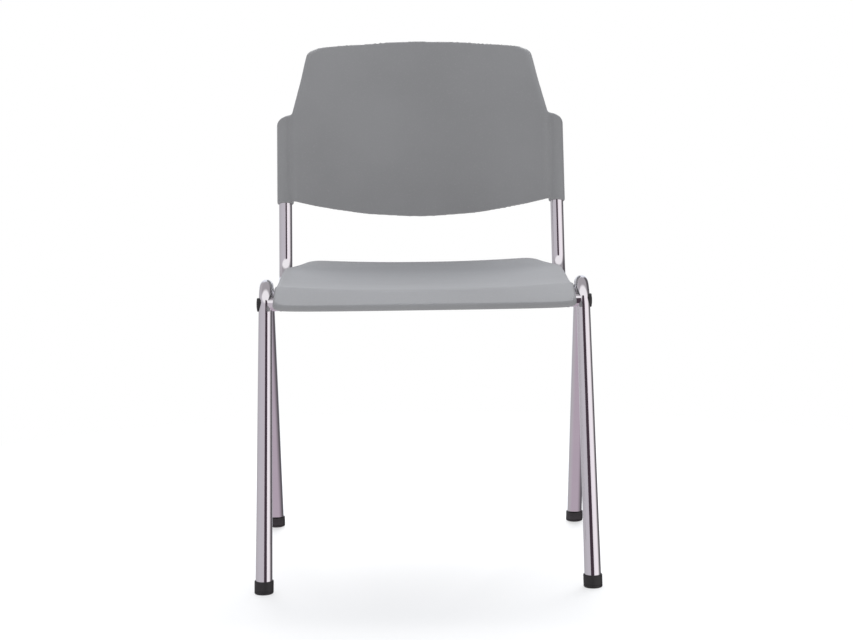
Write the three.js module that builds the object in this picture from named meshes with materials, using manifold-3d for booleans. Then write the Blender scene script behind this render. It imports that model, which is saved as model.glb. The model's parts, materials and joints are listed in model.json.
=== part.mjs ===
// Stacking chair: two bent leg frames, two L-shaped back tubes, two cross tubes, a seat and a backrest.
// Millimetres, +Z up, +X to the sitter's left, the sitter faces -Y.
// The origin is on the floor under the middle of the chair.
import * as THREE from "three";
import { mergeVertices } from "three/addons/utils/BufferGeometryUtils.js";
import Module from "manifold-3d";

const wasm = await Module();
wasm.setup();

// ---------- driving dimensions ----------
const GAP = 0.3; // between pieces that touch on the real chair
const WALL = 1.5; // of every steel tube
const TUBE_SIDES = 16;
const ROD_SIDES = 12;
const BORE_SIDES = 24; // enough for a bore's flats to clear the tube inside it
const BEND_STEPS = 7;

// Leg frame: a straight front leg and a straight rear leg, bent over at the top.
// y is measured from the front foot's edge.
const FRONT_FOOT = new THREE.Vector3(251, 14.6, 0);
const REAR_FOOT = new THREE.Vector3(260, 495, 0);
const LEG_CORNER = new THREE.Vector3(239.7, 62.4, 518); // where the lines of the two legs would meet
const LEG_BEND = 38;
const LEG_TOP_R = 10.3;
const LEG_FOOT_R = 12.9;
const LEG_END_LIFT = 4; // lowest point of a leg tube's end above the floor

// Seat and back frame.
const CROSS_R = 10;
const BACK_TUBE_R = 11;
const RAIL_Z = 437; // centre line of the front cross tube and of the rails
const REAR_CROSS = { y: 300, z: RAIL_Z - 12 };
const RAIL_FRONT_X = 218.6;
const BACK_X = 230.5;
const BACK_LEAN = THREE.MathUtils.degToRad(17);
const BACK_BASE = { y: 432, z: 470 }; // a point on the upright's centre line
const BACK_BEND = 50;
const UPRIGHT_TOP = 235; // along the upright from BACK_BASE

// Feet, bolts and plugs.
const FOOT_R = 14.6;
const FOOT_COLLAR = 20; // height of the foot's level top edge
const BOLT_R = 4;
const BOLT_HEAD_R = 5.5;
const BOLT_HEAD_H = 7;
const ACCESS_R = 7.5; // hole in the leg's outer wall that the bolt goes in by
const PLUG_R = 10.8;
const PLUG_PROUD = 3.3;
const PLUG_SKIRT = 4; // how far the plug wraps round the leg
const BUSH_R = 6; // threaded bush in the rail for the rear bolt
const KEY_R = 1.8; // hexagon socket of the screws

// Seat brackets and their screws: from, to and screw are measured from the cross tube's centre line.
const BRACKET_T = 2.5;
const BRACKET_W = 34;
const SEAT_SCREW_R = 2;
const SCREW_HEAD_R = 5;
const FRONT_BRACKET = { from: -8, to: 36, screw: 26 };
const REAR_BRACKET = { from: -36, to: 8, screw: -26 };

// Seat shell.
const SEAT_HALF = 229;
const SEAT_T = 5;
const SEAT_FRONT = -5;
const SEAT_REAR = 408;
const SEAT_REAR_HALF = 187;
const SCREW_X = 120;
const SEAT_MIDDLE_Y = 200; // the rings of the seat are laid out round this point
const SEAT_LINE = [
  [-5, 454],
  [60, 456.5],
  [120, 453],
  [200, 449.5],
  [280, 449.5],
  [340, 453],
  [380, 460.5],
  [410, 469],
]; // y and height of the seat's centre line, front to rear
const SIDE_RISE = 7; // the sides stand above the centre line
const HIP_RISE = 8; // and further up beside the sitter's hips
const FRONT_RIM_Z = 432; // level lower edge of the front
const FRONT_LIP = 8; // how far the rim turns down
const SIDE_LIP = 5;
const LIP_RUN = 6;
const CREASE_Y = 43; // where the seat starts to slope down to the front, in the middle
const CREASE_BOW = 38; // how much further back that is at the sides

// Backrest shell, in the upright's own frame: s along the upright, n towards the sitter.
const PANEL_T = 4.5;
const PANEL_EDGE_N = 13;
const PANEL_HOLLOW = 31;
const PANEL_ROLL = 14;
const SLEEVE_R = 14;
const SLEEVE_FOOT_S = 97;
const SLEEVE_TOP_S = 243;
const PANEL_CORNER_S = 371; // width of the top between its corners
const PANEL_CORNER_R = 12;
const BACK_SCREW_S = 130;
const BACK_SCREW_R = 2;

// ---------- materials ----------
const chrome = new THREE.MeshStandardMaterial({ color: 0xd8d6da, metalness: 1, roughness: 0.08 });
const greyPlastic = new THREE.MeshStandardMaterial({ color: 0x8b8e92, metalness: 0, roughness: 0.55 });
const blackPlastic = new THREE.MeshStandardMaterial({ color: 0x1c1b1c, metalness: 0, roughness: 0.6 });
const zincSteel = new THREE.MeshStandardMaterial({ color: 0xb9bcc0, metalness: 1, roughness: 0.35 });

// ---------- solids and geometries ----------
const point = (x, y, z) => new THREE.Vector3(x, y, z);

// A closed geometry as a manifold-3d solid, turned the right way out.
function solidOf(geometry) {
  const bare = new THREE.BufferGeometry().setAttribute("position", geometry.getAttribute("position"));
  if (geometry.index) bare.setIndex(geometry.index);
  const merged = mergeVertices(bare, 1e-4);
  const triVerts = new Uint32Array(merged.index.array);
  const vertProperties = new Float32Array(merged.attributes.position.array);
  const made = new wasm.Manifold(new wasm.Mesh({ numProp: 3, vertProperties, triVerts }));
  if (made.volume() >= 0) return made;
  for (let i = 0; i < triVerts.length; i += 3) {
    [triVerts[i + 1], triVerts[i + 2]] = [triVerts[i + 2], triVerts[i + 1]];
  }
  return new wasm.Manifold(new wasm.Mesh({ numProp: 3, vertProperties, triVerts }));
}

function geometryOf(solid) {
  const mesh = solid.getMesh();
  const geometry = new THREE.BufferGeometry();
  geometry.setAttribute("position", new THREE.BufferAttribute(new Float32Array(mesh.vertProperties), 3));
  geometry.setIndex(new THREE.BufferAttribute(new Uint32Array(mesh.triVerts), 1));
  geometry.computeVertexNormals();
  return geometry;
}

// Rings of equal length joined in order. The ends are closed by fans, or to each other when looped is true.
function loft(rings, looped = false) {
  const count = rings[0].length;
  const positions = rings.flat().flatMap((p) => [p.x, p.y, p.z]);
  const index = [];
  const bands = looped ? rings.length : rings.length - 1;
  for (let r = 0; r < bands; r++) {
    const low = r * count;
    const high = ((r + 1) % rings.length) * count;
    for (let i = 0; i < count; i++) {
      const j = (i + 1) % count;
      index.push(low + i, low + j, high + j, low + i, high + j, high + i);
    }
  }
  if (!looped) {
    const last = (rings.length - 1) * count;
    for (let i = 1; i < count - 1; i++) {
      index.push(0, i + 1, i, last, last + i, last + i + 1);
    }
  }
  const geometry = new THREE.BufferGeometry();
  geometry.setAttribute("position", new THREE.Float32BufferAttribute(positions, 3));
  geometry.setIndex(index);
  return solidOf(geometry);
}

// A polyline whose corners are rounded to a radius, as places with a direction. Only the bends are subdivided.
function bentPath(corners, radius) {
  const places = [];
  const heading = (a, b) => b.clone().sub(a).normalize();
  places.push({ at: corners[0], along: heading(corners[0], corners[1]) });
  for (let i = 1; i < corners.length - 1; i++) {
    const into = heading(corners[i - 1], corners[i]);
    const out = heading(corners[i], corners[i + 1]);
    const turn = into.angleTo(out);
    const cut = radius * Math.tan(turn / 2);
    const start = corners[i].clone().addScaledVector(into, -cut);
    const inward = out.clone().addScaledVector(into, -out.dot(into)).normalize();
    const centre = start.clone().addScaledVector(inward, radius);
    for (let k = 0; k <= BEND_STEPS; k++) {
      const a = (turn * k) / BEND_STEPS;
      const [cos, sin] = [Math.cos(a), Math.sin(a)];
      const at = centre.clone().addScaledVector(inward, -radius * cos).addScaledVector(into, radius * sin);
      const along = into.clone().multiplyScalar(cos).addScaledVector(inward, sin);
      places.push({ at, along });
    }
  }
  const last = corners.length - 1;
  places.push({ at: corners[last], along: heading(corners[last - 1], corners[last]) });
  return places;
}

// Circles of the given radii square to the path, turning with it without twist.
function circlesOn(path, radiusAt) {
  let side = Math.abs(path[0].along.x) > 0.9 ? new THREE.Vector3(0, 1, 0) : new THREE.Vector3(1, 0, 0);
  return path.map(({ at, along }, k) => {
    side = side.clone().addScaledVector(along, -side.dot(along)).normalize();
    const other = along.clone().cross(side);
    return Array.from({ length: TUBE_SIDES }, (_, i) => {
      const a = (2 * Math.PI * (i + 0.5)) / TUBE_SIDES;
      const r = radiusAt(k);
      return at.clone().addScaledVector(side, r * Math.cos(a)).addScaledVector(other, r * Math.sin(a));
    });
  });
}

const bar = (path, radiusAt) => loft(circlesOn(path, radiusAt));

// The bore is a loft of its own rings, joined at both ends to the outer wall.
function tube(path, radiusAt) {
  const outer = circlesOn(path, radiusAt);
  const inner = circlesOn(path, (k) => radiusAt(k) - WALL);
  return loft([...outer, ...inner.reverse()], true);
}

// A round bar from a to b.
function rod(a, b, radius, endRadius = radius, sides = ROD_SIDES) {
  const axis = b.clone().sub(a);
  const turn = new THREE.Quaternion().setFromUnitVectors(point(0, 1, 0), axis.clone().normalize());
  const geometry = new THREE.CylinderGeometry(endRadius, radius, axis.length(), sides);
  geometry.applyQuaternion(turn);
  const middle = a.clone().add(b).multiplyScalar(0.5);
  geometry.translate(middle.x, middle.y, middle.z);
  return solidOf(geometry);
}

function block(low, high) {
  const size = high.clone().sub(low);
  const geometry = new THREE.BoxGeometry(size.x, size.y, size.z);
  const middle = low.clone().add(high).multiplyScalar(0.5);
  geometry.translate(middle.x, middle.y, middle.z);
  return solidOf(geometry);
}

// ---------- the assembly ----------
const parts = new THREE.Group();

function add(name, solid, material) {
  const mesh = new THREE.Mesh(geometryOf(solid), material);
  mesh.name = name;
  parts.add(mesh);
}

const SIDES = [
  { name: "right", sign: -1 },
  { name: "left", sign: 1 },
];
const mirrored = (p, sign) => point(sign * p.x, p.y, p.z);

// ---------- leg frames ----------
// The end of a leg tube: the point on the leg's line where the tube's lowest edge clears the floor.
function legEnd(foot) {
  const up = LEG_CORNER.clone().sub(foot).normalize();
  const rise = LEG_END_LIFT + LEG_FOOT_R * Math.sqrt(1 - up.z * up.z);
  return { at: foot.clone().addScaledVector(up, rise / up.z), up };
}

function legPath(sign = 1) {
  const path = bentPath([legEnd(FRONT_FOOT).at, LEG_CORNER, legEnd(REAR_FOOT).at], LEG_BEND);
  return path.map(({ at, along }) => ({ at: mirrored(at, sign), along: mirrored(along, sign) }));
}

const legRadius = (path) => (k) => (k === 0 || k === path.length - 1 ? LEG_FOOT_R : LEG_TOP_R);

function legEnvelope(sign, grow) {
  const path = legPath(sign);
  const radius = legRadius(path);
  return bar(path, (k) => radius(k) + grow);
}

// The place on a leg's centre line at a height, on the front or the rear side of the bend.
function legAt(z, rear) {
  const path = legPath().map((p) => p.at);
  const run = rear ? path.slice().reverse() : path;
  const i = run.findIndex((p) => p.z > z);
  const share = (z - run[i - 1].z) / (run[i].z - run[i - 1].z);
  return run[i - 1].clone().lerp(run[i], share);
}

const BOLTS = [
  { name: "front", at: legAt(RAIL_Z, false) },
  { name: "rear", at: legAt(RAIL_Z, true) },
];
const FRONT_CROSS = { y: BOLTS[0].at.y, z: RAIL_Z };

// A rod along X at the height of a bolt, between two distances from the middle of the chair.
const crossRod = (at, sign, from, to, radius, ...more) =>
  rod(point(sign * from, at.y, at.z), point(sign * to, at.y, at.z), radius, ...more);

function legFrame(sign) {
  const path = legPath(sign);
  let solid = tube(path, legRadius(path));
  for (const { at } of BOLTS) {
    const boltHole = crossRod(at, sign, at.x - 2 * LEG_TOP_R, at.x, BOLT_R + GAP);
    const accessHole = crossRod(at, sign, at.x, at.x + 2 * LEG_TOP_R, ACCESS_R);
    solid = solid.subtract(boltHole).subtract(accessHole);
  }
  return solid;
}

// A cup over the end of the leg, cut level at the floor and at its collar.
function foot(end, sign) {
  const { at, up } = end;
  const axis = mirrored(up, sign);
  const tip = mirrored(at, sign);
  const along = (d) => tip.clone().addScaledVector(axis, d);
  const boreR = LEG_FOOT_R + GAP;
  const cup = rod(along(-60), along(60), FOOT_R, FOOT_R, BORE_SIDES);
  const bore = rod(along(-GAP), along(90), boreR, boreR, BORE_SIDES);
  const standing = block(point(-400, -100, 0), point(400, 700, FOOT_COLLAR));
  return cup.subtract(bore).intersect(standing);
}

// The bolt's head bears on the inside of the leg's inner wall and its shank screws into the frame.
function legBolt(at, sign, reach) {
  const boreR = LEG_TOP_R - WALL - 0.2;
  const seatX = at.x - Math.sqrt(boreR ** 2 - BOLT_HEAD_R ** 2) + GAP;
  const top = seatX + BOLT_HEAD_H;
  const head = crossRod(at, sign, seatX, top, BOLT_HEAD_R);
  const shank = crossRod(at, sign, seatX + 1, seatX - reach, BOLT_R);
  const key = crossRod(at, sign, top - 4, top + 1, 3, 3, 6);
  return head.add(shank).subtract(key);
}

// A domed plug whose underside is saddled to the leg, with a stem in the access hole.
function legPlug(at, sign) {
  const face = at.x + LEG_TOP_R;
  const crown = face + PLUG_PROUD;
  const disc = crossRod(at, sign, face - PLUG_SKIRT, crown - 1.2, PLUG_R, PLUG_R, TUBE_SIDES);
  const dome = crossRod(at, sign, crown - 1.2, crown, PLUG_R, PLUG_R - 2.4, TUBE_SIDES);
  const stem = crossRod(at, sign, face - 6, face, ACCESS_R - GAP);
  return disc.add(dome).subtract(legEnvelope(sign, GAP)).add(stem);
}

for (const { name, sign } of SIDES) {
  add(`leg_frame_${name}`, legFrame(sign), chrome);
  add(`foot_front_${name}`, foot(legEnd(FRONT_FOOT), sign), blackPlastic);
  add(`foot_rear_${name}`, foot(legEnd(REAR_FOOT), sign), blackPlastic);
  for (const bolt of BOLTS) {
    add(`leg_bolt_${bolt.name}_${name}`, legBolt(bolt.at, sign, 18), zincSteel);
    add(`leg_plug_${bolt.name}_${name}`, legPlug(bolt.at, sign), blackPlastic);
  }
}

// ---------- back tubes ----------
// A point in the upright's frame: x across, n towards the sitter, s along the upright.
function inBack(x, n, s) {
  const sin = Math.sin(BACK_LEAN);
  const cos = Math.cos(BACK_LEAN);
  return point(x, BACK_BASE.y + s * sin - n * cos, BACK_BASE.z + s * cos + n * sin);
}

const railCornerY = BACK_BASE.y - (BACK_BASE.z - RAIL_Z) * Math.tan(BACK_LEAN);

function backTubePath(sign) {
  const start = point(sign * RAIL_FRONT_X, FRONT_CROSS.y + 4, RAIL_Z);
  const corner = point(sign * BACK_X, railCornerY, RAIL_Z);
  return bentPath([start, corner, inBack(sign * BACK_X, 0, UPRIGHT_TOP)], BACK_BEND);
}

// The rail's centre line in plan: the rails spread a little towards the rear.
function railX(y) {
  const share = (y - FRONT_CROSS.y - 4) / (railCornerY - FRONT_CROSS.y - 4);
  return THREE.MathUtils.lerp(RAIL_FRONT_X, BACK_X, share);
}

const straight = (a, b) => [a, b].map((at) => ({ at, along: b.clone().sub(a).normalize() }));
const across = (half, { y, z }) => straight(point(-half, y, z), point(half, y, z));
const frontCrossAxis = across(237.5, FRONT_CROSS);

function backScrewHole(sign, depth) {
  const [from, to] = [0, -depth].map((n) => inBack(sign * BACK_X, n, BACK_SCREW_S));
  return rod(from, to, BACK_SCREW_R + GAP);
}

function backTube(sign) {
  let solid = tube(backTubePath(sign), () => BACK_TUBE_R);
  solid = solid.subtract(bar(frontCrossAxis, () => CROSS_R + GAP));
  const { at } = BOLTS[1];
  const bushHole = crossRod(at, sign, railX(at.y), 260, BUSH_R + GAP);
  return solid.subtract(bushHole).subtract(backScrewHole(sign, 20));
}

// A threaded bush set in the rail's outer wall for the rear bolt.
function railBush(sign) {
  const { at } = BOLTS[1];
  const centre = railX(at.y);
  const body = crossRod(at, sign, centre - 4, centre + BACK_TUBE_R - 0.6, BUSH_R);
  const thread = crossRod(at, sign, centre - 10, centre + 20, BOLT_R + GAP);
  return body.subtract(thread);
}

// A plug in the open top of the upright.
function topPlug(sign) {
  const at = (s) => inBack(sign * BACK_X, 0, UPRIGHT_TOP + s);
  const stem = rod(at(-14), at(1), BACK_TUBE_R - WALL - GAP);
  const rim = rod(at(GAP), at(2.3), BACK_TUBE_R - 0.5);
  return stem.add(rim);
}

// ---------- cross tubes ----------
function frontCross() {
  let solid = tube(frontCrossAxis, () => CROSS_R);
  for (const { sign } of SIDES) solid = solid.subtract(legEnvelope(sign, GAP));
  return solid;
}

function rearCross() {
  let solid = tube(across(railX(REAR_CROSS.y) - 3, REAR_CROSS), () => CROSS_R);
  for (const { sign } of SIDES) {
    solid = solid.subtract(bar(backTubePath(sign), () => BACK_TUBE_R + GAP));
  }
  return solid;
}

// A threaded plug fixed inside the end of the front cross tube.
function crossNut(sign) {
  const inner = CROSS_R - WALL - GAP;
  const { at } = BOLTS[0];
  const outX = at.x - LEG_TOP_R - 3;
  const body = crossRod(at, sign, outX - 18, outX, inner, inner, TUBE_SIDES);
  const thread = crossRod(at, sign, outX - 30, outX + 10, BOLT_R + GAP);
  return body.subtract(thread).subtract(legEnvelope(sign, GAP));
}

// ---------- seat brackets and screws ----------
const BRACKETS = [
  { name: "front", tube: FRONT_CROSS, ...FRONT_BRACKET },
  { name: "rear", tube: REAR_CROSS, ...REAR_BRACKET },
];
const bracketFloor = (b) => b.tube.z + CROSS_R + GAP;

function seatBracket(b, sign) {
  const z = bracketFloor(b);
  const x = sign * SCREW_X;
  const low = point(x - BRACKET_W / 2, b.tube.y + b.from, z);
  const high = point(x + BRACKET_W / 2, b.tube.y + b.to, z + BRACKET_T);
  const screwAt = (h) => point(x, b.tube.y + b.screw, h);
  return block(low, high).subtract(rod(screwAt(z - 5), screwAt(z + 10), SEAT_SCREW_R + 0.6));
}

function seatScrew(b, sign) {
  const z = bracketFloor(b);
  const at = (h) => point(sign * SCREW_X, b.tube.y + b.screw, h);
  const head = rod(at(z - GAP - 2.6), at(z - GAP), SCREW_HEAD_R - 1, SCREW_HEAD_R);
  const shank = rod(at(z - 1), at(z + BRACKET_T + 5), SEAT_SCREW_R);
  const key = rod(at(z - 6), at(z - GAP - 1), KEY_R, KEY_R, 6);
  return head.add(shank).subtract(key);
}

// ---------- seat shell ----------
const seatLine = new THREE.SplineCurve(SEAT_LINE.map(([y, z]) => new THREE.Vector2(y, z))).getPoints(200);

// Height of the seat's upper side: its centre line, the rise to each side, and the slope at the front.
function seatHeight(x, y) {
  const i = Math.max(1, seatLine.findIndex((p) => p.x > y));
  const a = seatLine[i - 1];
  const b = seatLine[i];
  const share = THREE.MathUtils.clamp((y - a.x) / (b.x - a.x), 0, 1);
  const hip = Math.sin(Math.PI * THREE.MathUtils.clamp((y - 100) / 340, 0, 1)) ** 2;
  const side = Math.pow(Math.abs(x) / SEAT_HALF, 2.2);
  const crease = CREASE_Y + CREASE_BOW * (x / SEAT_HALF) ** 2;
  const slope = THREE.MathUtils.clamp((crease - y) / (crease - SEAT_FRONT), 0, 1);
  const front = seatLine[0].y + SIDE_RISE * side - FRONT_RIM_Z - FRONT_LIP;
  return THREE.MathUtils.lerp(a.y, b.y, share) + (SIDE_RISE + HIP_RISE * hip) * side - front * slope;
}

// The seat's outline in plan: nearly square front corners, straight sides, rear corners cut off.
function seatOutline(inset) {
  const half = SEAT_HALF - inset;
  const front = SEAT_FRONT + inset;
  const rear = SEAT_REAR - inset;
  const corner = SEAT_REAR_HALF - inset / 2;
  const shape = new THREE.Shape();
  shape.moveTo(0, front);
  shape.bezierCurveTo(half * 0.5, front, half * 0.82, front + 0.5, half * 0.92, front + 3.5);
  shape.bezierCurveTo(half * 0.98, front + 6, half, front + 12, half, front + 28);
  shape.lineTo(half, 338);
  shape.bezierCurveTo(half, 350, half - 5, 357, half - 12, 366);
  shape.lineTo(corner + 8, rear - 11);
  shape.bezierCurveTo(corner + 1, rear - 3, corner - 8, rear, corner - 20, rear);
  shape.lineTo(0, rear);
  const left = shape.getSpacedPoints(34);
  const right = left.slice(1, -1).reverse().map((p) => new THREE.Vector2(-p.x, p.y));
  return [...left, ...right];
}

// A ring of the seat. share is 0 at its middle and 1 where the lip begins,
// and lip is 1 at the edge, where it turns straight down.
function seatRing({ share = 1, lip = 0 }, under) {
  const turned = 1 - Math.sqrt(1 - lip * lip);
  return seatOutline(under ? SEAT_T * 0.8 : 0).map((p) => {
    const out = new THREE.Vector2(p.x, p.y - SEAT_MIDDLE_Y);
    const { x } = out.setLength(share * (out.length() - LIP_RUN) + lip * LIP_RUN);
    const y = out.y + SEAT_MIDDLE_Y;
    const fall = THREE.MathUtils.lerp(FRONT_LIP, SIDE_LIP, THREE.MathUtils.smoothstep(p.y, 20, 60));
    const top = seatHeight(x, Math.max(y, SEAT_FRONT)) - fall * turned;
    return point(x, y, under ? top - SEAT_T * (1 - 1.35 * turned) : top);
  });
}

// A boss under the seat, which stands on a bracket and takes its screw.
function seatBoss(b, sign) {
  const at = (h) => point(sign * SCREW_X, b.tube.y + b.screw, h);
  const foot = bracketFloor(b) + BRACKET_T + GAP;
  const skin = seatHeight(SCREW_X, b.tube.y + b.screw) - SEAT_T / 2;
  return { body: rod(at(foot), at(skin), 8, 9), hole: rod(at(foot - 5), at(foot + 5.2), SEAT_SCREW_R + GAP) };
}

function seatShell() {
  const places = [
    ...[0.04, 0.35, 0.6, 0.76, 0.88, 1].map((share) => ({ share })),
    ...[0.7, 1].map((lip) => ({ lip })),
  ];
  const top = places.map((place) => seatRing(place, false));
  const under = places.map((place) => seatRing(place, true));
  let solid = loft([...top, ...under.reverse()]);
  for (const b of BRACKETS) {
    for (const { sign } of SIDES) {
      const { body, hole } = seatBoss(b, sign);
      solid = solid.add(body).subtract(hole);
    }
  }
  return solid;
}

// ---------- backrest shell ----------
const panelFoot = (x) => 77.5 + 21.5 * (x / 215) ** 2;
const panelTop = (x) => 390 - 18.7 * (x / 185) ** 2;

// Half the panel's width at a height: a taper above the sleeves, nearly straight beside them,
// and round at the corner.
function panelHalf(s, top) {
  const taper = s > 253 ? 220.9 - (s - 253) * 0.2407 : 220.9 + (253 - s) * 0.046;
  const above = THREE.MathUtils.clamp((s - (top - PANEL_CORNER_R)) / PANEL_CORNER_R, 0, 1);
  return taper - PANEL_CORNER_R * (1 - Math.sqrt(1 - above * above));
}

// A point of the panel's front face: u from -1 to 1 across, v from 0 to 1 up.
function panelFace(u, v) {
  let x = u * 210;
  let s = 0;
  let half = 0;
  for (let i = 0; i < 6; i++) {
    s = THREE.MathUtils.lerp(panelFoot(x), panelTop(x), v);
    half = panelHalf(s, panelTop(PANEL_CORNER_S / 2));
    x = u * half;
  }
  const edge = Math.max(0, Math.abs(x) - (half - PANEL_ROLL));
  const roll = PANEL_ROLL - Math.sqrt(Math.max(0, PANEL_ROLL ** 2 - edge ** 2));
  const hollow = PANEL_EDGE_N - PANEL_HOLLOW * (1 - (x / 212) ** 2);
  const lumbar = 6 * Math.sin(Math.PI * v) - 5 * v * v;
  return inBack(x, hollow + lumbar - roll, s);
}

function panelBack(u, v) {
  const d = 1e-3;
  const across = panelFace(Math.min(1, u + d), v).sub(panelFace(Math.max(-1, u - d), v));
  const up = panelFace(u, Math.min(1, v + d)).sub(panelFace(u, Math.max(0, v - d)));
  const normal = up.cross(across).normalize();
  return panelFace(u, v).addScaledVector(normal, PANEL_T);
}

// The panel as rings round it: the front face across, then the back face returning.
function panel() {
  const half = [0, 0.15, 0.3, 0.45, 0.6, 0.75, 0.86, 0.93, 0.955, 0.975, 0.99, 0.997];
  const us = [...half.slice(1).reverse().map((u) => -u), ...half];
  const back = us.slice().reverse();
  const rows = [0, 0.03, 0.12, 0.24, 0.36, 0.48, 0.6, 0.7, 0.8, 0.88, 0.94, 0.97, 0.985, 1];
  return loft(rows.map((v) => [...us.map((u) => panelFace(u, v)), ...back.map((u) => panelBack(u, v))]));
}

function sleeve(sign) {
  const x = sign * BACK_X;
  const [foot, top] = [inBack(x, 0, SLEEVE_FOOT_S), inBack(x, 0, SLEEVE_TOP_S + 14)];
  const body = rod(foot, top, SLEEVE_R, SLEEVE_R, TUBE_SIDES);
  const slope = [
    [SLEEVE_R + 1, -1],
    [SLEEVE_R - 4, 4],
    [-SLEEVE_R - 1, 10.5],
    [-SLEEVE_R - 1, 60],
    [SLEEVE_R + 1, 60],
  ];
  const lid = [-40, 40].map((n) => slope.map(([out, up]) => inBack(x + sign * out, n, SLEEVE_TOP_S + up)));
  return body.subtract(loft(lid));
}

function backrestShell() {
  let solid = panel();
  for (const { sign } of SIDES) {
    const x = sign * BACK_X;
    const boreR = BACK_TUBE_R + GAP;
    const bore = rod(inBack(x, 0, 40), inBack(x, 0, UPRIGHT_TOP + 3), boreR, boreR, BORE_SIDES);
    solid = solid.add(sleeve(sign)).subtract(bore).subtract(backScrewHole(sign, 30));
  }
  return solid;
}

function backScrew(sign) {
  const at = (n) => inBack(sign * BACK_X, n, BACK_SCREW_S);
  const head = rod(at(-SLEEVE_R - GAP), at(-SLEEVE_R - 2.6), SCREW_HEAD_R, SCREW_HEAD_R - 1.2);
  const shank = rod(at(-SLEEVE_R - 1), at(-6), BACK_SCREW_R);
  const key = rod(at(-SLEEVE_R - 1.2), at(-SLEEVE_R - 5), KEY_R, KEY_R, 6);
  return head.add(shank).subtract(key);
}

for (const { name, sign } of SIDES) {
  add(`back_tube_${name}`, backTube(sign), chrome);
  add(`top_plug_${name}`, topPlug(sign), blackPlastic);
  add(`rail_bush_${name}`, railBush(sign), zincSteel);
  add(`cross_nut_${name}`, crossNut(sign), zincSteel);
  add(`back_screw_${name}`, backScrew(sign), zincSteel);
  for (const b of BRACKETS) {
    add(`seat_bracket_${b.name}_${name}`, seatBracket(b, sign), zincSteel);
    add(`seat_screw_${b.name}_${name}`, seatScrew(b, sign), zincSteel);
  }
}
add("front_cross_tube", frontCross(), chrome);
add("rear_cross_tube", rearCross(), chrome);
add("seat_shell", seatShell(), greyPlastic);
add("backrest_shell", backrestShell(), greyPlastic);

// The origin is under the middle of the chair's own box.
const extent = new THREE.Box3().setFromObject(parts);
parts.position.y = -(extent.min.y + extent.max.y) / 2;

const chair = new THREE.Group();
chair.add(parts);
export default chair;
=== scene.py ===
"""Stacking chair: smooth chromed tubes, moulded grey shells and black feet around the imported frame."""
import json
import math

import bmesh
import bpy
from mathutils import Matrix, Vector


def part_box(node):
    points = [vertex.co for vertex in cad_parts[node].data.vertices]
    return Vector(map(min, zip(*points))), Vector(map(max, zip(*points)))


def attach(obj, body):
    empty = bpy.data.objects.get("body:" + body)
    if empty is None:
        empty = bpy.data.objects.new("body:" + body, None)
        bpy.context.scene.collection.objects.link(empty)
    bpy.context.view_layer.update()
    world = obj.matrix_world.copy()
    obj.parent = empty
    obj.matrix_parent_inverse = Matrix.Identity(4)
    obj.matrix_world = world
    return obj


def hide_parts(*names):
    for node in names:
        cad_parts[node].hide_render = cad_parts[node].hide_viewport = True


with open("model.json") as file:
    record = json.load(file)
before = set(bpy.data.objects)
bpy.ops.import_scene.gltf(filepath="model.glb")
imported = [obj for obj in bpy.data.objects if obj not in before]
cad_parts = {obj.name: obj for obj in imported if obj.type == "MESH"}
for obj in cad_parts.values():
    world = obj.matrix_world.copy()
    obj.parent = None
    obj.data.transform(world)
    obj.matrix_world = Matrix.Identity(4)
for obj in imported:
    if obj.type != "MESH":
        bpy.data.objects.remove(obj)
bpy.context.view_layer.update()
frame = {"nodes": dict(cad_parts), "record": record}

# ---------- driving dimensions, in millimetres; y is measured from the front foot's edge ----------
MM = 0.001
SEAT_FRONT = -5.0
SEAT_REAR = 408.0
Y_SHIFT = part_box("seat_shell")[0].y / MM - SEAT_FRONT  # from these shapes' own y to the frame's

LEG_FRONT_FOOT = Vector((251, 14.6, 0))
LEG_REAR_FOOT = Vector((260, 495, 0))
LEG_CORNER = Vector((239.7, 62.4, 518))
LEG_BEND = 38
LEG_TOP_R = 10.3
LEG_FOOT_R = 12.9
LEG_END_LIFT = 4
WALL = 1.5
ROUND_SIDES = 56
LEG_TAPER_TOP_Z = LEG_CORNER.z - 91  # where the leg's taper ends

RAIL_Z = 437
CROSS_R = 10
BACK_TUBE_R = 11
REAR_CROSS_Y = 300
REAR_CROSS_Z = RAIL_Z - 12
RAIL_FRONT_X = 218.6
BACK_X = 230.5
BACK_LEAN = math.radians(17)
BACK_BASE_Y = 432
BACK_BASE_Z = 470
BACK_BEND = 50
UPRIGHT_TOP = 235
BEAD_R = 1.5
BEAD_RIPPLE = 0.25

FOOT_R = 14.6
FOOT_COLLAR = 20
FOOT_ROUND = 2.4
PLUG_R = 10.4
PLUG_HALF_Y = 8
PLUG_PROUD = 3.3
PLUG_CROWN = 0.7
PLUG_SUNK = 1.2

SEAT_HALF = 229
SEAT_T = 5
SEAT_REAR_HALF = 187
SEAT_MIDDLE_Y = 200
SEAT_SIDE_END = 338
SIDE_RISE = 7
HIP_RISE = 8
FRONT_RIM_Z = 432
FRONT_LIP = 8
SIDE_LIP = 5
LIP_RUN = 6
CREASE_Y = 43
CREASE_BOW = 38
CREASE_SOFTNESS = 0.10
SCREW_X = 120
BOSSES_Y = {"front": 26, "rear": -26}

PANEL_T = 4.5
PANEL_EDGE_N = 13
PANEL_HOLLOW = 31
PANEL_ROLL = 14
SLEEVE_R = 14
SLEEVE_FOOT_S = 97
SLEEVE_TOP_S = 243
PANEL_CORNER_R = 12
PANEL_FOOT_S = 77.5
PANEL_FOOT_RISE = 21.5
PANEL_TOP_S = 390
PANEL_TOP_DROP = 18.7
PANEL_HALF = 220.9
PANEL_TAPER_S = 253  # above this the panel narrows
PANEL_TAPER = 0.2407
LUMBAR = 6
PANEL_TILT = 5

SIDES = {"right": -1, "left": 1}


def clamp(value, low=0.0, high=1.0):
    return min(high, max(low, value))


def mix(a, b, share):
    return a + (b - a) * share


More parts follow.
